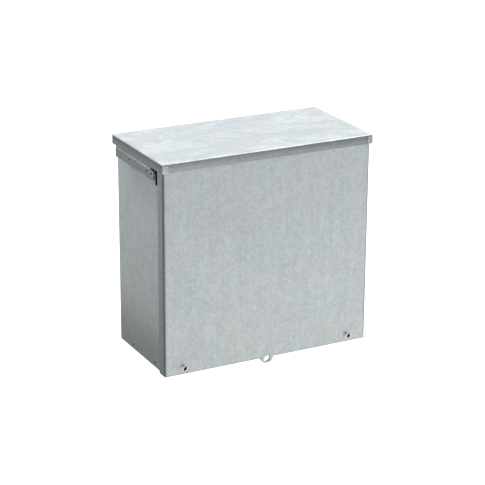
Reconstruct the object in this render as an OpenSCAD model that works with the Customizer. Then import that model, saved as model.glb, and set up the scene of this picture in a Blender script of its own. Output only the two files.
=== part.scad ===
// Rain-tight screw-cover junction box, folded from galvanised sheet steel.
// +X to the right, -Y to the front, +Z up. The origin is the centre of the
// four wall holes, on the wall plane.

/* [Box] */
// Outer width of the folded body
body_w = 305; // [260:1:360]
// Height from the body's bottom to the top of the drip shield
body_h = 297; // [270:1:340]
// Depth from the back panel to the cover's front face
body_d = 151; // [130:1:180]
// Thickness of the sheet steel
sheet_t = 1.6; // [1.2:0.1:1.8]
// Outer radius of the body's bends
bend_r = 2.4; // [2:0.1:3]

/* [Wall mounting] */
// Height of the embossed bosses, which hold the back off the wall
boss_h = 6; // [4:0.5:8]
// Radius of the flat top of a boss
boss_top_r = 11; // [9:0.5:12]
// Radius of a boss where it leaves the back panel
boss_base_r = 16; // [14:0.5:16]
// Radius of a wall screw hole
wall_hole_r = 4; // [3:0.1:5]
// Distance between the wall holes along X
wall_hole_dx = 254; // [200:1:254]
// Distance between the wall holes along Z
wall_hole_dz = 228.6; // [200:0.1:228.6]

/* [Drip shield] */
// Height of the drip shield's flange
shield_flange_h = 13; // [10:0.5:14]
// How far the shield's flange stands off the body's sides
shield_side_gap = 3.5; // [3.5:0.1:5]
// How far the shield's front flange stands off the cover's face
shield_front_gap = 1; // [0.8:0.1:2]
// How far the shield's back flange stands behind the back panel
shield_back_reach = 5.4; // [4:0.1:5.4]
// Width of the lapped tabs at the shield's front corners
corner_tab_w = 9; // [6:0.5:14]
// Thickness that the lapped tabs add to the front flange
corner_tab_t = 1.2; // [0.8:0.1:1.6]

/* [Side rails] */
// Height of a rail
rail_h = 16; // [12:0.5:20]
// Thickness of a rail, a strip folded double
rail_t = 3.2; // [2.4:0.1:3.2]
// Gap between the shield's flange and the rail at the back
rail_gap = 0.7; // [0.5:0.1:4]
// Size of the slope along the rail's top edge
rail_slope = 2.6; // [1:0.1:3]
// How far the rail falls towards the front, in degrees
rail_fall = 0.5; // [0:0.1:2]
// Length of the notch in the rail's top at the front
rail_notch_l = 9; // [4:0.5:14]
// Depth of that notch
rail_notch_h = 3.4; // [1:0.1:5]

/* [Front cover] */
// Gap between the body's side and the cover's side flange
cover_side_gap = 1; // [0.6:0.1:1.2]
// Depth of the cover's side and bottom flanges
cover_flange_d = 16.5; // [15:0.5:22]
// Gap between the body's bottom and the cover's bottom flange
cover_bottom_gap = 0.8; // [0.5:0.1:2]
// Gap between the cover's top edge and the shield
cover_top_gap = 1.2; // [1:0.1:3]
// Outer radius of the cover's bends
cover_bend_r = 3; // [2.4:0.1:4]

/* [Cover screws] */
// Distance of each screw from the middle
screw_x = 126.5; // [100:0.5:130]
// Height of the screws above the cover's bottom edge
screw_rise = 10.5; // [10:0.5:12]
// Radius of the thread's crests
screw_r = 2.4; // [2:0.1:2.5]
// Distance between two turns of the thread
thread_pitch = 0.794; // [0.7:0.001:1]
// Thread engaged past the bracket flange's front face
screw_grip = 6; // [5:0.1:6]
// Width of the hexagon across its flats
hex_af = 7.6; // [7:0.1:9]
// Width of the driver slot across the head
slot_cut_w = 1.8; // [1:0.1:2]
// Turn of the cover screws' driver slots, in degrees
slot_turn = -60; // [-90:5:90]
// Height of the hexagon
hex_h = 3.4; // [2.5:0.1:4]
// Radius of the washer formed on the head
head_washer_r = 4.9; // [4.8:0.1:6]
// Thickness of that washer
head_washer_t = 0.9; // [0.6:0.1:1.2]

/* [Padlock ears] */
// Width of the ears
ear_w = 17.6; // [16:0.2:20]
// How far the ears hang below the cover's bottom edge
ear_drop = 7.3; // [6:0.1:9]
// Radius of the ears' lower corners
ear_corner_r = 6; // [4:0.5:8]
// Radius of the padlock hole
padlock_hole_r = 4.4; // [3.5:0.1:4.6]

/* [Bottom panel] */
// Number of knockouts in the bottom
knockouts = 4; // [1:1:4]
// Distance between knockouts
knockout_dx = 64; // [50:1:66]
// Radius of the larger knockout
knockout_r = 14.2; // [14:0.1:16]
// Radius of the smaller knockout inside it
slug_r = 11.3; // [10:0.1:11.3]
// Radius of the weep holes
weep_r = 1.6; // [1.5:0.1:3]

/* [Hidden] */
$fn = 96;
eps = 1;                       // how far a cutter passes a face
far = 400;                     // longer than any edge of the box

// Planes of the body
half_w = body_w / 2;
top_z = body_h / 2;
bottom_z = -body_h / 2;
back_y = -boss_h;
face_y = back_y - body_d;
body_top_z = top_z - sheet_t;  // top edge of the wrapper, under the shield
inner_back_y = back_y - sheet_t;
inner_half_w = half_w - sheet_t;

// Planes of the cover
cover_half_w = half_w + cover_side_gap + sheet_t;
cover_bottom_z = bottom_z - cover_bottom_gap - sheet_t;
cover_top_z = body_top_z - cover_top_gap;
cover_inner_y = face_y + sheet_t;
cover_rear_y = face_y + cover_flange_d;

// The body's front edges, behind the cover
front_gap = 0.4;
body_front_y = cover_inner_y + front_gap;
return_w = 12;                 // width of the sides' front return flanges
lip_z = top_z - shield_flange_h;
swing_room = 5.6;              // room behind the cover's face above the lip
header_y = face_y + swing_room;

// Drip shield
shield_half_w = half_w + shield_side_gap + sheet_t;
shield_front_y = face_y - shield_front_gap - sheet_t;
shield_back_y = back_y + shield_back_reach;
shield_corner_r = 1.8;

// Side rails and the slots beside them
slot_w = 11;
slot_front_y = cover_rear_y + 0.6;
slot_top_z = lip_z - 2;
slot_leg_h = 21.5;
slot_foot_l = 20;
slot_foot_h = 6.2;
rail_front_y = slot_front_y + slot_w + 0.4;
rail_back_y = back_y - bend_r;
rail_top_z = lip_z - rail_gap;
hem_gap = 0.2;
hem_depth = 2;

// Bottom and top panels
bottom_flange_y = cover_inner_y + 8;   // front face of the bottom's front flange
panel_flange_h = 12;
bottom_front_h = 20;
top_front_h = 14;
panel_corner_r = 1.2;
weep_x = 135;
weep_back = 12;

// Cover screws, their retainers and their nuts
screw_z = cover_bottom_z + screw_rise;
cover_hole_r = screw_r + 0.4;
bracket_hole_r = screw_r + 1;
head_gap = 0.1;
slot_cut_h = 2.4;
screw_tip_y = bottom_flange_y + screw_grip;
thread_depth = 0.42;
thread_count = 14;
retainer_t = 1.2;
retainer_r = 5;
retainer_bore_r = screw_r + 0.1;
retainer_gap = 0.4;
nut_af = 8.7;
nut_h = 3.6;
nut_bore_r = screw_r + 0.5;

// Padlock ears
ear_bottom_z = cover_bottom_z - ear_drop;
padlock_drop = 1.2;             // of the hole's centre below the cover's bottom edge
padlock_z = cover_bottom_z - padlock_drop;
ear_root_h = 20;
ear_gap = 0.6;
staple_y = cover_inner_y + ear_gap;
staple_step_z = screw_z + 4;
staple_top_z = staple_step_z + 8;
flange_notch_w = ear_w + 1.4;
notch_top_z = cover_bottom_z + cover_bend_r + 1;

// Ground screw on the back panel
ground_x = 0;
ground_z = bottom_z + panel_flange_h + 9.5;
ground_r = 2.4;
ground_len = 7;
ground_washer_r = 6;
ground_washer_t = 0.8;

// Knockouts
knockout_y = (bottom_flange_y + inner_back_y) / 2;
knockout_gap = 0.2;
knockout_tab = 2.4;
knockout_shift = 0.5;

steel = "lightsteelblue";
zinc = "gainsboro";

// ---- shapes ----

// Rectangle from [x0, y0] to [x1, y1], one radius per corner:
// [low x low y, high x low y, high x high y, low x high y]
module plate_outline(x0, y0, x1, y1, radii) {
    corners = [[x0, y0, 1, 1], [x1, y0, -1, 1], [x1, y1, -1, -1], [x0, y1, 1, -1]];
    difference() {
        translate([x0, y0]) square([x1 - x0, y1 - y0]);
        for (i = [0 : 3])
            if (radii[i] > 0)
                corner_cut(corners[i], radii[i]);
    }
}

module corner_cut(corner, r) {
    sx = corner[2];
    sy = corner[3];
    translate([corner[0] + sx * (r - eps) / 2, corner[1] + sy * (r - eps) / 2])
        difference() {
            square(r + eps, center = true);
            translate([sx * (r + eps) / 2, sy * (r + eps) / 2]) circle(r);
        }
}

// Extrusions of an outline drawn in the XY, XZ or YZ plane
module along_z(z0, z1) {
    translate([0, 0, z0]) linear_extrude(z1 - z0) children();
}

module along_y(y0, y1) {
    translate([0, y1, 0]) rotate([90, 0, 0]) linear_extrude(y1 - y0) children();
}

module along_x(x0, x1) {
    translate([x0, 0, 0]) rotate([90, 0, 90]) linear_extrude(x1 - x0) children();
}

// Round rod along Y
module rod(r, y0, y1) {
    along_y(y0, y1) circle(r);
}

module box(x0, y0, z0, x1, y1, z1) {
    translate([x0, y0, z0]) cube([x1 - x0, y1 - y0, z1 - z0]);
}

module at_screw(side) {
    translate([side * screw_x, 0, screw_z]) children();
}

module both_sides() {
    children();
    mirror([1, 0, 0]) children();
}

// ---- body ----

// Sides and back folded from one sheet, with return flanges at the front
module wrapper_outline() {
    inner_r = bend_r - sheet_t;
    inner_y = body_front_y + sheet_t;
    difference() {
        plate_outline(-half_w, body_front_y, half_w, back_y,
            [bend_r, bend_r, bend_r, bend_r]);
        plate_outline(-inner_half_w, inner_y, inner_half_w, inner_back_y,
            [inner_r, inner_r, inner_r, inner_r]);
        translate([-half_w + return_w, body_front_y - eps])
            square([body_w - 2 * return_w, sheet_t + 2 * eps]);
    }
}

module at_wall_holes() {
    for (x = [-1, 1], z = [-1, 1])
        translate([x * wall_hole_dx / 2, 0, z * wall_hole_dz / 2]) children();
}

// Dished boss with a flat ring on the wall plane and a hole through it
module wall_boss() {
    rotate([90, 0, 0]) rotate_extrude()
        polygon([[wall_hole_r, 0], [boss_top_r, 0],
            [boss_base_r, boss_h], [boss_base_r, boss_h + sheet_t],
            [boss_base_r - 1, boss_h + sheet_t],
            [boss_top_r - 1, sheet_t], [wall_hole_r, sheet_t]]);
}

// L-shaped slot through a side, behind the cover's flange
module side_slot() {
    along_x(half_w - 2 * sheet_t, half_w + eps) {
        translate([slot_front_y, slot_top_z - slot_leg_h])
            square([slot_w, slot_leg_h]);
        translate([slot_front_y, slot_top_z - slot_foot_h])
            square([slot_foot_l, slot_foot_h]);
    }
}

module body_wrapper() {
    color(steel) {
        difference() {
            along_z(bottom_z, body_top_z) wrapper_outline();
            // the cover's top edge swings through these corners
            box(-far, body_front_y - eps, lip_z - sheet_t, far, header_y, far);
            both_sides() side_slot();
            at_wall_holes() rod(boss_base_r - 0.5, back_y - 3 * sheet_t, 0);
            translate([ground_x, 0, ground_z]) rod(ground_r, -far, 0);
        }
        at_wall_holes() wall_boss();
    }
}

// Tray with four flanges, open at the top. Its floor lies at z = 0.
module tray(y0, y1, front_h, flange_h) {
    inner_r = bend_r - sheet_t;
    w = inner_half_w;
    difference() {
        intersection() {
            along_z(0, front_h)
                plate_outline(-w, y0, w, y1,
                    [panel_corner_r, panel_corner_r, panel_corner_r, panel_corner_r]);
            along_x(-w, w)
                plate_outline(y0, 0, y1, front_h, [bend_r, bend_r, 0, 0]);
            along_y(y0, y1)
                plate_outline(-w, 0, w, front_h, [bend_r, bend_r, 0, 0]);
        }
        intersection() {
            along_x(-w + sheet_t, w - sheet_t)
                plate_outline(y0 + sheet_t, sheet_t, y1 - sheet_t, front_h + eps,
                    [inner_r, inner_r, 0, 0]);
            along_y(y0 + sheet_t, y1 - sheet_t)
                plate_outline(-w + sheet_t, sheet_t, w - sheet_t, front_h + eps,
                    [inner_r, inner_r, 0, 0]);
        }
        // the sides and back are lower than the front
        box(-far, y0 + bend_r, flange_h, far, far, far);
    }
}

module top_panel() {
    color(steel)
        translate([0, 0, body_top_z]) mirror([0, 0, 1])
            tray(header_y, inner_back_y, top_front_h, panel_flange_h);
}

module at_knockouts() {
    for (i = [0 : knockouts - 1])
        translate([(i - (knockouts - 1) / 2) * knockout_dx, knockout_y, bottom_z])
            children();
}

module bottom_panel() {
    color(steel)
        difference() {
            translate([0, 0, bottom_z])
                tray(bottom_flange_y, inner_back_y, bottom_front_h, panel_flange_h);
            for (side = [-1, 1])
                at_screw(side) rod(bracket_hole_r, bottom_flange_y - eps,
                    bottom_flange_y + sheet_t + eps);
            at_knockouts() translate([0, 0, -eps]) cylinder(r = knockout_r, h = 2 * sheet_t);
            for (side = [-1, 1])
                translate([side * weep_x, bottom_flange_y + weep_back, bottom_z - eps])
                    cylinder(r = weep_r, h = 2 * sheet_t);
        }
}

// ---- drip shield and side rails ----

// Block with rounded top edges and rounded upright corners
module shield_block(half_width, y0, y1, z0, z1, r, corner_r) {
    intersection() {
        along_z(z0, z1)
            plate_outline(-half_width, y0, half_width, y1,
                [corner_r, corner_r, corner_r, corner_r]);
        along_x(-half_width, half_width)
            plate_outline(y0, z0, y1, z1, [0, 0, r, r]);
        along_y(y0, y1)
            plate_outline(-half_width, z0, half_width, z1, [0, 0, r, r]);
    }
}

module corner_tab() {
    tab_top = top_z - bend_r;
    along_z(lip_z, tab_top)
        plate_outline(shield_half_w - corner_tab_w, shield_front_y - corner_tab_t,
            shield_half_w, shield_front_y + sheet_t / 2, [0.6, shield_corner_r, 0, 0]);
}

module drip_shield() {
    color(steel) {
        difference() {
            union() {
                shield_block(shield_half_w, shield_front_y, shield_back_y,
                    lip_z, top_z, bend_r, shield_corner_r);
                both_sides() corner_tab();
            }
            shield_block(shield_half_w - sheet_t, shield_front_y + sheet_t,
                shield_back_y - sheet_t, lip_z - eps, body_top_z,
                bend_r - sheet_t, 0);
        }
    }
}

// Strip folded double, its top edge sloping in to the body, falling to the front
module side_rail() {
    color(steel)
        translate([half_w, rail_back_y, rail_top_z])
            rotate([rail_fall, 0, 0])
                difference() {
                    along_y(rail_front_y - rail_back_y, 0)
                        polygon([[0, -rail_h], [rail_t, -rail_h], [rail_t, -rail_slope],
                            [rail_t - rail_slope, 0], [0, 0]]);
                    // line between the two layers, seen from below
                    box((rail_t - hem_gap) / 2, -far, -rail_h - eps,
                        (rail_t + hem_gap) / 2, far, -rail_h + hem_depth);
                    box(-eps, -far, -rail_notch_h, rail_t + eps,
                        rail_front_y - rail_back_y + rail_notch_l, eps);
                }
}

module side_rail_left() {
    mirror([1, 0, 0]) side_rail();
}

module side_rail_right() {
    side_rail();
}

// ---- cover ----

module ear_outline() {
    plate_outline(-ear_w / 2, ear_bottom_z, ear_w / 2, ear_bottom_z + ear_root_h,
        [ear_corner_r, ear_corner_r, 0, 0]);
}

// Face with two side flanges and a bottom flange, open at the top and back
module cover_shell() {
    w = cover_half_w;
    r = cover_bend_r;
    inner_r = r - sheet_t;
    difference() {
        intersection() {
            along_z(cover_bottom_z, cover_top_z)
                plate_outline(-w, face_y, w, cover_rear_y, [r, r, 0, 0]);
            along_x(-w, w)
                plate_outline(face_y, cover_bottom_z, cover_rear_y, cover_top_z, [r, 0, 0, 0]);
            along_y(face_y, cover_rear_y)
                plate_outline(-w, cover_bottom_z, w, cover_top_z, [r, r, 0, 0]);
        }
        intersection() {
            along_z(cover_bottom_z + sheet_t, far)
                plate_outline(-w + sheet_t, cover_inner_y, w - sheet_t, cover_rear_y + eps,
                    [inner_r, inner_r, 0, 0]);
            along_x(-w, w)
                plate_outline(cover_inner_y, cover_bottom_z + sheet_t, cover_rear_y + eps,
                    far, [inner_r, 0, 0, 0]);
        }
    }
}

module front_cover() {
    color(steel)
        difference() {
            union() {
                difference() {
                    cover_shell();
                    box(-flange_notch_w / 2, face_y - eps, cover_bottom_z - eps,
                        flange_notch_w / 2, cover_rear_y + eps, notch_top_z);
                }
                box(-flange_notch_w / 2, face_y, cover_bottom_z,
                    flange_notch_w / 2, cover_inner_y, notch_top_z);
                along_y(face_y, cover_inner_y) ear_outline();
            }
            translate([0, 0, padlock_z])
                rod(padlock_hole_r, face_y - eps, cover_inner_y + eps);
            for (side = [-1, 1])
                at_screw(side) rod(cover_hole_r, face_y - eps, cover_inner_y + eps);
        }
}

// Joggled bracket on the body, with the ear behind the cover's ear
module padlock_staple() {
    color(steel)
        difference() {
            union() {
                along_y(staple_y, staple_y + sheet_t)
                    plate_outline(-ear_w / 2, ear_bottom_z, ear_w / 2, staple_step_z,
                        [ear_corner_r, ear_corner_r, 0, 0]);
                box(-ear_w / 2, staple_y, staple_step_z - sheet_t,
                    ear_w / 2, bottom_flange_y, staple_step_z);
                box(-ear_w / 2, bottom_flange_y - sheet_t, staple_step_z - sheet_t,
                    ear_w / 2, bottom_flange_y, staple_top_z);
            }
            translate([0, 0, padlock_z])
                rod(padlock_hole_r, staple_y - eps, staple_y + sheet_t + eps);
        }
}

// ---- cover screws ----

// Shank with thread rings, from its seat at y = 0 to a chamfered tip
module threaded_shank(length) {
    root_r = screw_r - thread_depth;
    thread_start = length - thread_count * thread_pitch - 0.6;
    rotate([-90, 0, 0]) {
        cylinder(r = screw_r, h = thread_start);
        cylinder(r = root_r, h = length);
        for (i = [0 : thread_count - 1])
            translate([0, 0, thread_start + i * thread_pitch])
                rotate_extrude()
                    polygon([[0, 0], [root_r, 0], [screw_r, thread_pitch * 0.4],
                        [screw_r, thread_pitch * 0.55], [root_r, thread_pitch * 0.95],
                        [0, thread_pitch * 0.95]]);
    }
}

// Slotted hexagon head on a formed washer, its seat at y = 0
module hex_washer_head(turn) {
    total_h = head_washer_t + hex_h;
    difference() {
        union() {
            rod(head_washer_r, -head_washer_t, 0);
            along_y(-total_h, 0) rotate(30) circle(d = hex_af / cos(30), $fn = 6);
        }
        // dished top with a driver slot
        rotate([0, turn, 0])
            box(-head_washer_r, -total_h - eps, -slot_cut_w / 2,
                head_washer_r, -total_h + slot_cut_h, slot_cut_w / 2);
        rod(hex_af / 2 - 1.2, -total_h - eps, -total_h + 0.4);
    }
}

module cover_screw(side) {
    color(zinc)
        at_screw(side) {
            seat_y = face_y - head_gap;
            translate([0, seat_y, 0]) {
                hex_washer_head(slot_turn);
                threaded_shank(screw_tip_y - seat_y);
            }
        }
}

// Push-on ring that keeps a screw in the cover
module screw_retainer(side) {
    ring_back_y = bottom_flange_y - retainer_gap;
    color(zinc)
        at_screw(side)
            along_y(ring_back_y - retainer_t, ring_back_y)
                difference() {
                    circle(retainer_r);
                    circle(retainer_bore_r);
                }
}

module weld_nut(side) {
    nut_y = bottom_flange_y + sheet_t;
    color(zinc)
        at_screw(side)
            difference() {
                along_y(nut_y, nut_y + nut_h) circle(d = nut_af / cos(30), $fn = 6);
                rod(nut_bore_r, nut_y - eps, nut_y + nut_h + eps);
            }
}

module cover_screw_left() {
    cover_screw(-1);
}

module cover_screw_right() {
    cover_screw(1);
}

module screw_retainer_left() {
    screw_retainer(-1);
}

module screw_retainer_right() {
    screw_retainer(1);
}

module weld_nut_left() {
    weld_nut(-1);
}

module weld_nut_right() {
    weld_nut(1);
}

// ---- ground connection ----

module ground_screw() {
    color("seagreen")
        translate([ground_x, inner_back_y - ground_washer_t, ground_z]) {
            hex_washer_head(0);
            rod(ground_r, 0, ground_len);
        }
}

module ground_washer() {
    color(zinc)
        translate([ground_x, 0, ground_z])
            along_y(inner_back_y - ground_washer_t, inner_back_y)
                difference() {
                    circle(ground_washer_r);
                    circle(ground_r);
                }
}

// ---- knockouts ----

// Sheared disc or ring, still held by two tabs to the hole of radius hole_r
module sheared_blank(outer_r, inner_r, hole_r, turn) {
    intersection() {
        cylinder(r = hole_r, h = sheet_t);
        difference() {
            union() {
                cylinder(r = outer_r, h = sheet_t);
                rotate(turn) box(-far / 2, -knockout_tab / 2, 0, far / 2, knockout_tab / 2, sheet_t);
            }
            if (inner_r > 0)
                translate([0, 0, -eps]) cylinder(r = inner_r, h = sheet_t + 2 * eps);
        }
    }
}

module knockout_rings() {
    color(steel)
        at_knockouts() translate([0, 0, knockout_shift])
            sheared_blank(knockout_r - knockout_gap, slug_r + knockout_gap, knockout_r, 90);
}

module knockout_slugs() {
    color(steel)
        at_knockouts()
            sheared_blank(slug_r, 0, slug_r + knockout_gap, 0);
}

body_wrapper();
top_panel();
bottom_panel();
drip_shield();
side_rail_left();
side_rail_right();
front_cover();
padlock_staple();
cover_screw_left();
cover_screw_right();
screw_retainer_left();
screw_retainer_right();
weld_nut_left();
weld_nut_right();
ground_screw();
ground_washer();
knockout_rings();
knockout_slugs();
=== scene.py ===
import math

import bmesh
import bpy
from mathutils import Matrix, Vector


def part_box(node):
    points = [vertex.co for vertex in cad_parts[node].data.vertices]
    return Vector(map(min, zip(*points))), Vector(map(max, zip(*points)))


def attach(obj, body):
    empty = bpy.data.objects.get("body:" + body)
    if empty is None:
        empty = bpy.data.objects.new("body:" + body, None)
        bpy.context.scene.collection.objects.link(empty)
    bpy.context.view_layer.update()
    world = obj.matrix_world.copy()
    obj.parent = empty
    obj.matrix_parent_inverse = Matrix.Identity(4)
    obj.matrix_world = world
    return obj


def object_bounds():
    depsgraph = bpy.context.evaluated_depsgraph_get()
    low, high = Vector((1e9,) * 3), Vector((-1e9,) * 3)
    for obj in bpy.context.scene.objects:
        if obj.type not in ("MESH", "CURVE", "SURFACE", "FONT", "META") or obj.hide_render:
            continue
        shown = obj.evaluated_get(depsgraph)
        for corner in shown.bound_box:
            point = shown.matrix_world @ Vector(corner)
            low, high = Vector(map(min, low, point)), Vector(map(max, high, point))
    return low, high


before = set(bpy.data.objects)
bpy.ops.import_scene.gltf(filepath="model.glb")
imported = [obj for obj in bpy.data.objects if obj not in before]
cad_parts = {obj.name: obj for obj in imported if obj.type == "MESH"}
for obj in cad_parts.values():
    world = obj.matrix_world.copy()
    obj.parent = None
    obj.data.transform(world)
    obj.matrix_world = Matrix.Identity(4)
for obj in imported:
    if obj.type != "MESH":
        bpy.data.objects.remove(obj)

cad_low, cad_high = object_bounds()
scene = bpy.context.scene

# ---- places taken from the frame, in metres ----

COVER_LOW, COVER_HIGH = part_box("front_cover")
WRAP_LOW, WRAP_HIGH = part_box("body_wrapper")
SHIELD_LOW, SHIELD_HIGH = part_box("drip_shield")
RAIL_LOW, RAIL_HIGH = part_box("side_rail_right")
BOTTOM_LOW, BOTTOM_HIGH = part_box("bottom_panel")
STAPLE_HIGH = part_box("padlock_staple")[1]

SCREW_LOW, SCREW_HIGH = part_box("cover_screw_right")
SCREW_X = (SCREW_LOW.x + SCREW_HIGH.x) / 2
SCREW_Z = (SCREW_LOW.z + SCREW_HIGH.z) / 2

RAIL_FALL = math.radians(0.5)   # a rail falls towards the front by this angle
RAIL_SLOPE = 0.0026          # height of the slope along a rail's top edge
SHEET = 0.0016               # thickness of the sheet steel
BOSS_HEIGHT = 0.006          # the wall bosses, which are the wrapper's lowest point at the back
BACK_Y = WRAP_HIGH.y - BOSS_HEIGHT
SIDE_X = BOTTOM_HIGH.x + SHEET


# ---- camera ----

CAMERA_AZIMUTH = -27.54      # degrees from straight in front, negative to the left
CAMERA_ELEVATION = 19.68     # degrees above the level
CAMERA_ROLL = 0.295          # degrees
CAMERA_DISTANCE = 2.481
CAMERA_LENS = 133.55         # focal length and sensor width in millimetres
CAMERA_SENSOR = 36
CAMERA_CLIP = 60
CAMERA_AIM = Vector((-0.0003, -0.0826, -0.0067))


def make_camera():
    azimuth, elevation = math.radians(CAMERA_AZIMUTH), math.radians(CAMERA_ELEVATION)
    back = Vector((math.sin(azimuth) * math.cos(elevation),
                   -math.cos(azimuth) * math.cos(elevation),
                   math.sin(elevation)))
    data = bpy.data.cameras.new("camera")
    data.lens = CAMERA_LENS
    data.sensor_width = CAMERA_SENSOR
    data.clip_end = CAMERA_CLIP
    camera = bpy.data.objects.new("camera", data)
    scene.collection.objects.link(camera)
    camera.location = CAMERA_AIM + back * CAMERA_DISTANCE
    turn = (-back).to_track_quat("-Z", "Y").to_matrix()
    roll = Matrix.Rotation(math.radians(CAMERA_ROLL), 3, "Z")
    camera.rotation_euler = (turn @ roll).to_euler()
    scene.camera = camera


# ---- node helpers ----

class Web:
    """A node tree with short ways to add and join the nodes used here."""

    def __init__(self, tree):
        self.tree = tree

    def add(self, kind):
        return self.tree.nodes.new(kind)

    def join(self, source, target):
        self.tree.links.new(source, target)

    def put(self, target, value):
        if isinstance(value, bpy.types.NodeSocket):
            self.join(value, target)
        else:
            target.default_value = value

    def math(self, operation, a, b=0.0, c=0.0):
        node = self.add("ShaderNodeMath")
        node.operation = operation
        for socket, value in zip(node.inputs, (a, b, c)):
            self.put(socket, value)
        return node.outputs[0]

    def vector(self, operation, a, b=(0, 0, 0), output="Vector"):
        node = self.add("ShaderNodeVectorMath")
        node.operation = operation
        self.put(node.inputs[0], a)
        self.put(node.inputs[1], b)
        return node.outputs[output]

    def object_place(self, offset=(0, 0, 0)):
        return self.vector("ADD", self.add("ShaderNodeTexCoord").outputs["Object"], offset)

    def part_of(self, value, channel):
        """One channel of a vector or a colour."""
        node = self.add("ShaderNodeSeparateXYZ")
        self.join(value, node.inputs[0])
        return node.outputs[channel]

    def noise(self, place, scale, detail, output="Fac", roughness=0.5, distortion=0.0):
        node = self.add("ShaderNodeTexNoise")
        node.inputs["Scale"].default_value = scale
        node.inputs["Detail"].default_value = detail
        node.inputs["Roughness"].default_value = roughness
        node.inputs["Distortion"].default_value = distortion
        self.join(place, node.inputs["Vector"])
        return node.outputs[output]

    def cells(self, place, scale):
        """A random colour in each irregular cell."""
        node = self.add("ShaderNodeTexVoronoi")
        node.inputs["Scale"].default_value = scale
        self.join(place, node.inputs["Vector"])
        return node.outputs["Color"]

    def wander(self, place, scale, amount):
        """The place, pushed about by up to the amount, so that cell borders aren't straight."""
        push = self.vector("SUBTRACT", self.noise(place, scale, 2.0, "Color"), (0.5, 0.5, 0.5))
        return self.vector("ADD", place, self.vector("MULTIPLY", push, (amount, amount, amount)))

    def smooth(self, value, low, high, start=0.0, end=1.0):
        """Goes smoothly from start at low to end at high, and stays level outside them."""
        node = self.add("ShaderNodeMapRange")
        node.interpolation_type = "SMOOTHSTEP"
        self.join(value, node.inputs["Value"])
        node.inputs["From Min"].default_value = low
        node.inputs["From Max"].default_value = high
        node.inputs["To Min"].default_value = start
        node.inputs["To Max"].default_value = end
        return node.outputs["Result"]

    def before(self, value, edge, span, start=0.0, end=1.0):
        """A smooth change over a span given as two distances below the edge."""
        return self.smooth(value, edge - span[0], edge - span[1], start, end)

    def past(self, value, edge, span, start=0.0, end=1.0):
        """A smooth change over a span given as two distances above the edge."""
        return self.smooth(value, edge + span[0], edge + span[1], start, end)

    def vary(self, level, value, amount):
        """Adds a value from 0 to 1 to the level as plus or minus half the amount."""
        return self.math("MULTIPLY_ADD", value, amount, self.math("SUBTRACT", level, amount / 2))

    def tint(self, factor, dark, light):
        node = self.add("ShaderNodeMix")
        node.data_type = "RGBA"
        self.join(factor, node.inputs["Factor"])
        node.inputs["A"].default_value = (*dark, 1)
        node.inputs["B"].default_value = (*light, 1)
        return node.outputs["Result"]

    def scaled(self, colour, factor):
        node = self.add("ShaderNodeCombineXYZ")
        for socket in node.inputs:
            self.join(factor, socket)
        return self.vector("MULTIPLY", colour, node.outputs[0])

    def bump(self, height, distance, strength=1.0, under=None):
        node = self.add("ShaderNodeBump")
        node.inputs["Strength"].default_value = strength
        node.inputs["Distance"].default_value = distance
        self.join(height, node.inputs["Height"])
        if under is not None:
            self.join(under, node.inputs["Normal"])
        return node.outputs["Normal"]


def new_material(name):
    material = bpy.data.materials.new(name)
    material.use_nodes = True
    tree = material.node_tree
    tree.nodes.clear()
    web = Web(tree)
    shader = web.add("ShaderNodeBsdfPrincipled")
    output = web.add("ShaderNodeOutputMaterial")
    web.join(shader.outputs["BSDF"], output.inputs["Surface"])
    return material, web, shader


# ---- light and floor ----

FLOOR_DROP = 0.30            # the box hangs this far above the floor
FLOOR_REACH = 14.0           # half the floor's width
FLOOR_DARK = (0.93, 0.93, 0.93)
FLOOR_PALE = (0.97, 0.97, 0.97)
FLOOR_LIFT = 0.55            # emission that keeps the floor nearly white

KEY_PLACE = (1.5, -1.5, 1.9)
KEY_AIM = (0, -0.08, 0)
KEY_SIZE = 1.2
KEY_POWER = 14

# softboxes: the way each lies, then the cosines at its edge and its middle and the strengths there
BACK_RIGHT = Vector((0.45, 0.80, 0.40)).normalized()
BACK_BOX = (0.1, 0.9, 0.36, 1.42)
FRONT_RIGHT = Vector((0.55, -0.80, 0.05)).normalized()
FRONT_BOX = (0.2, 0.95, 0.0, 0.32)
TOP_BOX = (0.55, 1.0, 0.0, 0.9)

# the floor's glow: where each change begins and ends, and the strengths at both
POOL_WAY = (0.55, -0.83, 0)
POOL_RISE = (-0.3, 0.5)
POOL_FADE = (0.9, 2.1, 1.0, 0.35)
POOL_STRENGTH = 0.60
DIM_NEAR = (0.3, 1.6, 0.24, 0.66)
WARM_NEAR = (0.9, 1.8)
NEAR_TINT = (1.01, 1.0, 0.95)
FAR_TINT = (0.99, 1.0, 1.005)


def area_light(name, place, target, size, power):
    data = bpy.data.lights.new(name, "AREA")
    data.shape = "DISK"
    data.size = size
    data.energy = power
    light = bpy.data.objects.new(name, data)
    scene.collection.objects.link(light)
    light.location = place
    light.rotation_euler = (Vector(target) - Vector(place)).to_track_quat("-Z", "Y").to_euler()


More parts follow.
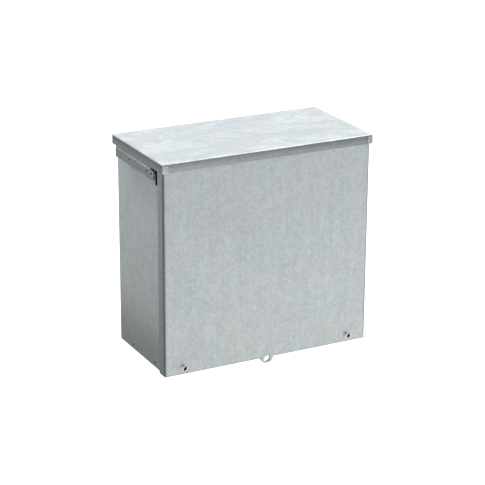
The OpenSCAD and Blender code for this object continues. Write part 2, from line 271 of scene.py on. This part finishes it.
def make_world():
    """A white backdrop, and softboxes behind right, in front right and overhead."""
    world = bpy.data.worlds.new("studio")
    scene.world = world
    world.use_nodes = True
    tree = world.node_tree
    tree.nodes.clear()
    web = Web(tree)
    direction = web.add("ShaderNodeTexCoord").outputs["Generated"]
    behind = web.vector("DOT_PRODUCT", direction, tuple(BACK_RIGHT), "Value")
    before = web.vector("DOT_PRODUCT", direction, tuple(FRONT_RIGHT), "Value")
    level = web.math("ADD", web.smooth(behind, *BACK_BOX), web.smooth(before, *FRONT_BOX))
    level = web.math("ADD", level, web.smooth(web.part_of(direction, 2), *TOP_BOX))
    lighting = web.add("ShaderNodeBackground")
    web.join(level, lighting.inputs["Strength"])
    backdrop = web.add("ShaderNodeBackground")
    backdrop.inputs["Color"].default_value = (1, 1, 1, 1)
    mix = web.add("ShaderNodeMixShader")
    web.join(web.add("ShaderNodeLightPath").outputs["Is Camera Ray"], mix.inputs[0])
    web.join(lighting.outputs[0], mix.inputs[1])
    web.join(backdrop.outputs[0], mix.inputs[2])
    web.join(mix.outputs[0], web.add("ShaderNodeOutputWorld").inputs["Surface"])


def floor_glow(web):
    """Light sent up by the floor: a pool in front on the right, dimmer and warmer near the box."""
    place = web.object_place()
    along = web.vector("DOT_PRODUCT", place, POOL_WAY, "Value")
    away = web.vector("LENGTH", place, output="Value")
    pool = web.math("MULTIPLY", web.smooth(along, *POOL_RISE), web.smooth(away, *POOL_FADE))
    dim = web.smooth(away, *DIM_NEAR)
    glow = web.add("ShaderNodeEmission")
    tint = web.tint(web.smooth(away, *WARM_NEAR), NEAR_TINT, FAR_TINT)
    web.join(tint, glow.inputs["Color"])
    web.join(web.math("MULTIPLY_ADD", pool, POOL_STRENGTH, dim), glow.inputs["Strength"])
    return glow.outputs[0]


def make_floor():
    corners = [(x * FLOOR_REACH, y * FLOOR_REACH, 0)
               for x, y in ((-1, -1), (1, -1), (1, 1), (-1, 1))]
    mesh = bpy.data.meshes.new("floor")
    mesh.from_pydata(corners, [], [(0, 1, 2, 3)])
    floor = bpy.data.objects.new("floor", mesh)
    floor.location.z = cad_low.z - FLOOR_DROP
    scene.collection.objects.link(floor)
    material, web, shader = new_material("floor_paint")
    cloud = web.noise(web.object_place(), 3.0, 3.0)
    web.join(web.tint(cloud, FLOOR_DARK, FLOOR_PALE), shader.inputs["Base Color"])
    shader.inputs["Roughness"].default_value = 0.9
    shader.inputs["Specular IOR Level"].default_value = 0.2
    shader.inputs["Emission Color"].default_value = (1, 1, 1, 1)
    shader.inputs["Emission Strength"].default_value = FLOOR_LIFT
    upper = web.add("ShaderNodeMixShader")
    web.join(web.add("ShaderNodeLightPath").outputs["Is Camera Ray"], upper.inputs[0])
    web.join(floor_glow(web), upper.inputs[1])
    web.join(shader.outputs[0], upper.inputs[2])
    # clear from below, so that the object can be seen from there
    both = web.add("ShaderNodeMixShader")
    web.join(web.add("ShaderNodeNewGeometry").outputs["Backfacing"], both.inputs[0])
    web.join(upper.outputs[0], both.inputs[1])
    web.join(web.add("ShaderNodeBsdfTransparent").outputs[0], both.inputs[2])
    web.join(both.outputs[0], material.node_tree.nodes["Material Output"].inputs["Surface"])
    mesh.materials.append(material)


# ---- materials ----

ZINC_TONE = (0.575, 0.618, 0.642)
COOL_SHIFT = (0.97, 1.0, 1.02)
WARM_SHIFT = (1.03, 1.0, 0.975)
ZINC_METAL = 0.92

# how much each texture changes the tone of a sheet, from dark to light
SPANGLE_TONE = 0.13
PATCH_TONE = 0.03
MOTTLE_TONE = 0.26
CLOUD_TONE = 0.06
SMEAR_TONE = 0.05
STREAK_TONE = 0.16

# how much each texture changes the roughness, and the heights of the bumps
SPANGLE_ROUGH = 0.10
MOTTLE_ROUGH = 0.08
SMEAR_ROUGH = 0.10
WAVE_HEIGHT = 0.0016
GRAIN_HEIGHT = 0.00003
GRAIN_STRENGTH = 0.6

UPRIGHT = (1, 1, 0.05)       # streaks run up and down
DEEP = (1, 0.05, 1)          # streaks run from front to back
ACROSS = (0.05, 1, 1)        # streaks run from side to side

SCREW_TONE = (0.84, 0.85, 0.85)
PLATE_TONE = (0.80, 0.81, 0.82)
GREEN_TONE = (0.06, 0.3, 0.12)


def galvanised(name, level, roughness, offset, streaks, marks_and_painted_light=None):
    """Zinc-coated sheet: irregular spangle, fine mottle, smears, and streaks along the rolling."""
    material, web, shader = new_material(name)
    place = web.object_place(offset)
    bent = web.wander(place, 150.0, 0.006)
    spangle = web.cells(bent, 260.0)
    patches = web.cells(web.wander(place, 40.0, 0.02), 70.0)
    mottle = web.noise(place, 620.0, 3.0, roughness=0.65)
    cloud = web.noise(place, 9.0, 3.0)
    smear = web.noise(web.vector("MULTIPLY", place, (0.6, 1.0, 1.0)), 26.0, 4.0, distortion=1.6)
    streak = web.noise(web.vector("MULTIPLY", place, streaks), 210.0, 3.0)

    tone = web.vary(1.0, web.part_of(spangle, 0), SPANGLE_TONE)
    tone = web.vary(tone, web.part_of(patches, 1), PATCH_TONE)
    tone = web.vary(tone, mottle, MOTTLE_TONE)
    tone = web.vary(tone, cloud, CLOUD_TONE)
    tone = web.vary(tone, smear, SMEAR_TONE)
    tone = web.vary(tone, streak, STREAK_TONE)
    # marks and painted shade or light, multiplied into the tone
    if marks_and_painted_light is not None:
        tone = web.math("MULTIPLY", tone, marks_and_painted_light(web))
    cool = tuple(c * level * s for c, s in zip(ZINC_TONE, COOL_SHIFT))
    warm = tuple(c * level * s for c, s in zip(ZINC_TONE, WARM_SHIFT))
    web.join(web.scaled(web.tint(web.noise(place, 24.0, 2.0), cool, warm), tone),
             shader.inputs["Base Color"])

    shine = web.vary(roughness, web.part_of(spangle, 2), SPANGLE_ROUGH)
    shine = web.vary(shine, mottle, MOTTLE_ROUGH)
    web.join(web.vary(shine, smear, SMEAR_ROUGH), shader.inputs["Roughness"])
    shader.inputs["Metallic"].default_value = ZINC_METAL

    wave = web.bump(web.noise(place, 6.0, 1.0), WAVE_HEIGHT)
    grain = web.math("ADD", mottle, web.part_of(spangle, 1))
    web.join(web.bump(grain, GRAIN_HEIGHT, GRAIN_STRENGTH, wave), shader.inputs["Normal"])
    return material


# Masks are spans in metres from an edge of the sheet: where the mask begins and where it ends.
# Tones are factors on the sheet's own tone.
PATCHY = (0.35, 0.6)         # the part of a noise that makes patches

FLANGE_MARGIN = 0.002
FLANGE_SHADE = (0.61, 0.42)   # painted shade, from a flange's lower edge to its bend
SIDE_FLANGE = (0.0012, 0.0004)
SIDE_FLANGE_SHADE = 0.74
FADE_ACROSS = (-0.10, 0.15)  # the flanges grow darker from left to right
FADE_TONE = 0.86
FRONT_FLANGE = (0.0002, 0.0010)
TAB_WIDTH = (0.012, 0.008)
TAB_PAINT = (0.12, 0.34)     # added to the tone, unlike the others
WIPED = (0.40, 0.66, 0.93, 1.10)
SHIELD_TOP = (0.0020, 0.0008)

# painted highlight on a rail's sloping top edge, in patches
SLOPE_SHEEN_TONE = (1.5, 2.1)
SLOPE_SHEEN_EDGE = (0.0006, 0.0016)
# painted light on a rail's front end, which faces into shade
RAIL_END = (0.0003, 0.0009)
RAIL_END_LIGHT = 2.4

COVER_SIDE = (0.0040, 0.0008)
# painted shade on the cover's side flanges and upright bends
COVER_SIDE_SHADE = -0.32
COVER_FACE = (0.0008, 0.0042)
COVER_BEND_SHADE = -0.36
# painted reflection of the floor: the face is this much darker at its top
COVER_TOP_TONE = 0.92
COVER_TONE_ACROSS = (0.97, 1.02)
EAR_HEIGHT = (0.0060, 0.0078)
EAR_TONE = 1.18

# painted shade along the body's lower edge
LOW_SHADE_HEIGHT = 0.10
LOW_SHADE_TONE = 0.66
# painted shade high up on the body, under the shield, away from the back
HIGH_SHADE_HEIGHT = (0.10, 0.02)
HIGH_SHADE_DEPTH = (0.06, 0.01)
HIGH_SHADE_LOSS = -0.20
SLOT_HEIGHT = (0.038, 0.036)
SLOT_FRONT = (0.0, 0.0004)
SLOT_BACK = (0.014, 0.016)
CUT_INNER = (SHEET, 0.8 * SHEET)
CUT_OUTER = (0.2 * SHEET, 0.05 * SHEET)
SHADE_AND_GRIME_LOSS = -0.9           # painted shade and grime that leave a tenth of the tone

HEAD_RECESS = 0.0002         # depth in a screw head below which painted shade and grime darken it
RECESS_REACH = (0.0036, 0.0039)   # from the screw's axis


def shield_shade_and_smears(web):
    """The top is wiped in pale smears. The flanges carry painted shade, most of all at the sides and
    under the bend, and the welded tabs at the front corners are touched up paler."""
    place = web.object_place()
    x = web.math("ABSOLUTE", web.part_of(place, 0))
    z = web.part_of(place, 2)
    # painted shade: the flanges are darker than the top, darkest under the bend and at the sides
    flange = web.smooth(z, SHIELD_LOW.z + FLANGE_MARGIN, SHIELD_HIGH.z - FLANGE_MARGIN,
                        *FLANGE_SHADE)
    side = web.before(x, SHIELD_HIGH.x, SIDE_FLANGE, 1.0, SIDE_FLANGE_SHADE)
    flange = web.math("MULTIPLY", flange, side)
    along = web.smooth(web.part_of(place, 0), *FADE_ACROSS, 1.0, FADE_TONE)
    flange = web.math("MULTIPLY", flange, along)
    front = web.past(web.part_of(place, 1), SHIELD_LOW.y, FRONT_FLANGE, 1.0, 0.0)
    tab = web.math("MULTIPLY", front, web.before(x, SHIELD_HIGH.x, TAB_WIDTH))
    patches = web.smooth(web.noise(place, 380.0, 2.0), *PATCHY, *TAB_PAINT)
    paint = web.math("MULTIPLY", tab, patches)
    flange = web.math("ADD", flange, paint)
    wiped = web.noise(web.vector("MULTIPLY", place, (0.55, 1.0, 1.0)), 17.0, 5.0,
                      roughness=0.6, distortion=2.4)
    top = web.smooth(wiped, *WIPED)
    above = web.before(z, SHIELD_HIGH.z, SHIELD_TOP)
    return web.math("ADD", web.math("MULTIPLY", top, above),
                    web.math("MULTIPLY", flange, web.math("SUBTRACT", 1.0, above)))


def rail_painted_light(web):
    """A rail's front end is lifted by painted light, and its sloping top edge, which falls towards
    the front, carries a patchy painted highlight.
    """
    place = web.object_place()
    fallen = web.math("SUBTRACT", RAIL_HIGH.y, web.part_of(place, 1))
    top = web.math("MULTIPLY_ADD", fallen, -math.tan(RAIL_FALL), RAIL_HIGH.z)
    depth = web.math("SUBTRACT", top, web.part_of(place, 2))
    # painted highlight along the sloping top edge
    slope_sheen = web.smooth(web.noise(place, 160.0, 2.0), *PATCHY, *SLOPE_SHEEN_TONE)
    sheen_gain = web.math("SUBTRACT", slope_sheen, 1.0)
    above = web.past(depth, RAIL_SLOPE, SLOPE_SHEEN_EDGE, 1.0, 0.0)
    # painted light on the front end
    end = web.past(web.part_of(place, 1), RAIL_LOW.y, RAIL_END, RAIL_END_LIGHT, 1.0)
    return web.math("MULTIPLY", web.math("MULTIPLY_ADD", above, sheen_gain, 1.0), end)


def cover_shade_and_tone(web):
    """The cover's side flanges carry painted shade, its upright bends darker painted shade still, and
    its face a painted reflection of the floor that lightens it towards the bottom; its ear is paler."""
    place = web.object_place()
    x = web.math("ABSOLUTE", web.part_of(place, 0))
    side = web.before(x, COVER_HIGH.x, COVER_SIDE)
    face = web.past(web.part_of(place, 1), COVER_LOW.y, COVER_FACE, 1.0, 0.0)
    bend = web.math("MULTIPLY", side, face)
    # painted shade on the side flanges, darker on the upright bends
    shaded = web.math("MULTIPLY_ADD", side, COVER_SIDE_SHADE, 1.0)
    shaded = web.math("MULTIPLY_ADD", bend, COVER_BEND_SHADE, shaded)
    # painted reflection of the floor, lighter towards the bottom
    floor_reflection = web.smooth(web.part_of(place, 2), COVER_LOW.z, COVER_HIGH.z, 1.0, COVER_TOP_TONE)
    across = web.smooth(web.part_of(place, 0), COVER_LOW.x, COVER_HIGH.x, *COVER_TONE_ACROSS)
    ear = web.past(web.part_of(place, 2), COVER_LOW.z, EAR_HEIGHT, EAR_TONE, 1.0)
    own = web.math("MULTIPLY", shaded, ear)
    return web.math("MULTIPLY", own, web.math("MULTIPLY", floor_reflection, across))


def body_shade_and_grime(web):
    """The body carries painted shade along its lower edge and high up, away from the back, and the
    cut edges of the slots behind the cover are painted nearly black, standing for shade and grime."""
    place = web.object_place()
    x = web.math("ABSOLUTE", web.part_of(place, 0))
    y = web.part_of(place, 1)
    z = web.part_of(place, 2)
    # painted shade, darker towards the lower edge
    painted_dark = web.smooth(z, WRAP_LOW.z, WRAP_LOW.z + LOW_SHADE_HEIGHT, LOW_SHADE_TONE, 1.0)
    # painted shade high up, away from the back
    under = web.math("MULTIPLY", web.before(z, WRAP_HIGH.z, HIGH_SHADE_HEIGHT),
                     web.before(y, BACK_Y, HIGH_SHADE_DEPTH, 1.0, 0.0))
    shaded = web.math("MULTIPLY", painted_dark, web.math("MULTIPLY_ADD", under, HIGH_SHADE_LOSS, 1.0))
    # painted shade and grime on the cut edges of the slots
    cut = web.math("MULTIPLY", web.before(x, SIDE_X, CUT_INNER),
                   web.before(x, SIDE_X, CUT_OUTER, 1.0, 0.0))
    near = web.math("MULTIPLY", web.before(z, WRAP_HIGH.z, SLOT_HEIGHT),
                    web.math("MULTIPLY", web.past(y, COVER_HIGH.y, SLOT_FRONT),
                             web.past(y, RAIL_LOW.y, SLOT_BACK, 1.0, 0.0)))
    slot_shade_and_grime = web.math("MULTIPLY", cut, near)
    return web.math("MULTIPLY", shaded, web.math("MULTIPLY_ADD", slot_shade_and_grime, SHADE_AND_GRIME_LOSS, 1.0))


def zinc_plate(name, tone, roughness, head_y=None):
    """Plated fastener: fine turned lines, small stains, and painted shade with grime deep in the
    head's recess.
    """
    material, web, shader = new_material(name)
    place = web.object_place()
    lines = web.noise(web.vector("MULTIPLY", place, (1, 0.2, 1)), 2600.0, 2.0)
    stain = web.noise(place, 420.0, 3.0)
    colour = web.tint(stain, tuple(c * 0.80 for c in tone), tone)
    if head_y is not None:
        x = web.math("SUBTRACT", web.math("ABSOLUTE", web.part_of(place, 0)), SCREW_X)
        z = web.math("SUBTRACT", web.part_of(place, 2), SCREW_Z)
        squares = web.math("ADD", web.math("MULTIPLY", x, x), web.math("MULTIPLY", z, z))
        reach = web.math("SQRT", squares)
        inside = web.smooth(reach, *RECESS_REACH, 1.0, 0.0)
        deep = web.past(web.part_of(place, 1), head_y, (HEAD_RECESS, 2 * HEAD_RECESS))
        # painted shade and grime deep in the head's recess
        painted_dark = web.math("MULTIPLY", inside, deep)
        colour = web.scaled(colour, web.math("MULTIPLY_ADD", painted_dark, SHADE_AND_GRIME_LOSS, 1.0))
    web.join(colour, shader.inputs["Base Color"])
    shine = web.vary(roughness, stain, 0.18)
    web.join(web.vary(shine, lines, 0.06), shader.inputs["Roughness"])
    shader.inputs["Metallic"].default_value = 1.0
    web.join(web.bump(lines, GRAIN_HEIGHT), shader.inputs["Normal"])
    return material


TEXTURE_STEP = (0.37, 0.21, 0.53)   # from one sheet's texture to the next one's

# node: level, roughness, streaks, marks and painted light
SHEETS = {
    "body_wrapper": (1.03, 0.44, UPRIGHT, body_shade_and_grime),
    "top_panel": (1.0, 0.42, ACROSS, None),
    "bottom_panel": (1.0, 0.42, ACROSS, None),
    "drip_shield": (1.08, 0.40, ACROSS, shield_shade_and_smears),
    "side_rail_left": (0.55, 0.46, DEEP, rail_painted_light),
    "side_rail_right": (0.55, 0.46, DEEP, rail_painted_light),
    "front_cover": (1.0, 0.42, UPRIGHT, cover_shade_and_tone),
    "padlock_staple": (1.0, 0.40, UPRIGHT, None),
    "knockout_rings": (0.97, 0.42, ACROSS, None),
    "knockout_slugs": (1.02, 0.42, ACROSS, None),
}
COVER_SCREWS = ["cover_screw_left", "cover_screw_right"]
SMALL_PARTS = ["screw_retainer_left", "screw_retainer_right", "weld_nut_left", "weld_nut_right",
               "ground_washer"]


def give(node, material):
    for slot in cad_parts[node].material_slots:
        slot.material = material


def dress_frame():
    for i, (node, (level, roughness, streaks, marks_and_painted_light)) in enumerate(SHEETS.items()):
        offset = tuple(i * step for step in TEXTURE_STEP)
        give(node, galvanised("galvanised_" + node, level, roughness, offset, streaks, marks_and_painted_light))
    head_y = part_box("cover_screw_left")[0].y
    screw_plate = zinc_plate("screw_plate", SCREW_TONE, 0.22, head_y)
    for node in COVER_SCREWS:
        give(node, screw_plate)
    plate = zinc_plate("zinc_plate", PLATE_TONE, 0.24)
    for node in SMALL_PARTS:
        give(node, plate)
    give("ground_screw", zinc_plate("green_plate", GREEN_TONE, 0.35))


# ---- spot welds ----

WELD_STEPS = 28
# A dished core inside a raised, rounded ring: radius and height above the sheet
WELD_PROFILE = [(0.0012, 0.00003), (0.0021, 0.00010), (0.0026, 0.00034), (0.0031, 0.00042),
                (0.0036, 0.00030), (0.0042, -0.00005)]
WELD_RADIUS = WELD_PROFILE[-1][0]
WELD_CORE = 2                # the innermost bands take the burnt material

RAIL_WELDS = (-0.054, -0.110, -0.1238)
SIDE_WELDS = (-0.053, -0.123)
BACK_WELDS = (-0.104, -0.035, 0.035, 0.104)
FLANGE_WELD_HEIGHT = 0.0075  # above the bottom panel's lowest point
EAR_WELD_X = 0.0048
EAR_WELD_DROP = 0.0032       # below the top of the ear's bracket


def weld_mark(mesh, place, outward):
    """Adds one closed weld mark that stands on the sheet and faces outward."""
    turn = Vector(outward).to_track_quat("Z", "Y").to_matrix().to_4x4()
    frame_here = Matrix.Translation(place) @ turn
    rings = []
    for radius, height in WELD_PROFILE:
        ring = []
        for i in range(WELD_STEPS):
            angle = 2 * math.pi * i / WELD_STEPS
            point = Vector((radius * math.cos(angle), radius * math.sin(angle), height))
            ring.append(mesh.verts.new(frame_here @ point))
        rings.append(ring)
    top = mesh.verts.new(frame_here @ Vector((0, 0, WELD_PROFILE[0][1])))
    under = mesh.verts.new(frame_here @ Vector((0, 0, WELD_PROFILE[-1][1])))
    for i in range(WELD_STEPS):
        j = (i + 1) % WELD_STEPS
        mesh.faces.new((top, rings[0][i], rings[0][j])).material_index = 1
        mesh.faces.new((under, rings[-1][j], rings[-1][i]))
        for band, (inner, outer) in enumerate(zip(rings, rings[1:])):
            face = mesh.faces.new((inner[i], outer[i], outer[j], inner[j]))
            face.material_index = 1 if band < WELD_CORE else 0


def weld_places():
    """Where the sheets are welded: the rails, the panels' flanges and the padlock ear's bracket."""
    rail_z = (RAIL_LOW.z + RAIL_HIGH.z) / 2
    flange_z = BOTTOM_LOW.z + FLANGE_WELD_HEIGHT
    places = []
    for side in (-1, 1):
        for y in RAIL_WELDS:
            places.append(((side * RAIL_HIGH.x, y, rail_z), (side, 0, 0)))
        for y in SIDE_WELDS:
            places.append(((side * SIDE_X, y, flange_z), (side, 0, 0)))
        ear_z = STAPLE_HIGH.z - EAR_WELD_DROP
        places.append(((side * EAR_WELD_X, STAPLE_HIGH.y - SHEET, ear_z), (0, -1, 0)))
    for x in BACK_WELDS:
        places.append(((x, BACK_Y, flange_z), (0, 1, 0)))
        places.append(((x, BACK_Y, SHIELD_LOW.z - WELD_RADIUS), (0, 1, 0)))
    return places


def make_welds():
    mesh = bmesh.new()
    for place, outward in weld_places():
        weld_mark(mesh, place, outward)
    data = bpy.data.meshes.new("spot_welds")
    mesh.to_mesh(data)
    mesh.free()
    for face in data.polygons:
        face.use_smooth = True
    welds = bpy.data.objects.new("spot_welds", data)
    scene.collection.objects.link(welds)
    data.materials.append(galvanised("weld_ring", 0.95, 0.34, (3.1, 0.4, 1.7), UPRIGHT))
    data.materials.append(galvanised("weld_core", 0.17, 0.55, (1.3, 2.2, 0.6), UPRIGHT))
    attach(welds, "body")


make_camera()
make_world()
make_floor()
area_light("key", KEY_PLACE, KEY_AIM, KEY_SIZE, KEY_POWER)
dress_frame()
make_welds()
scene.view_settings.view_transform = "Standard"
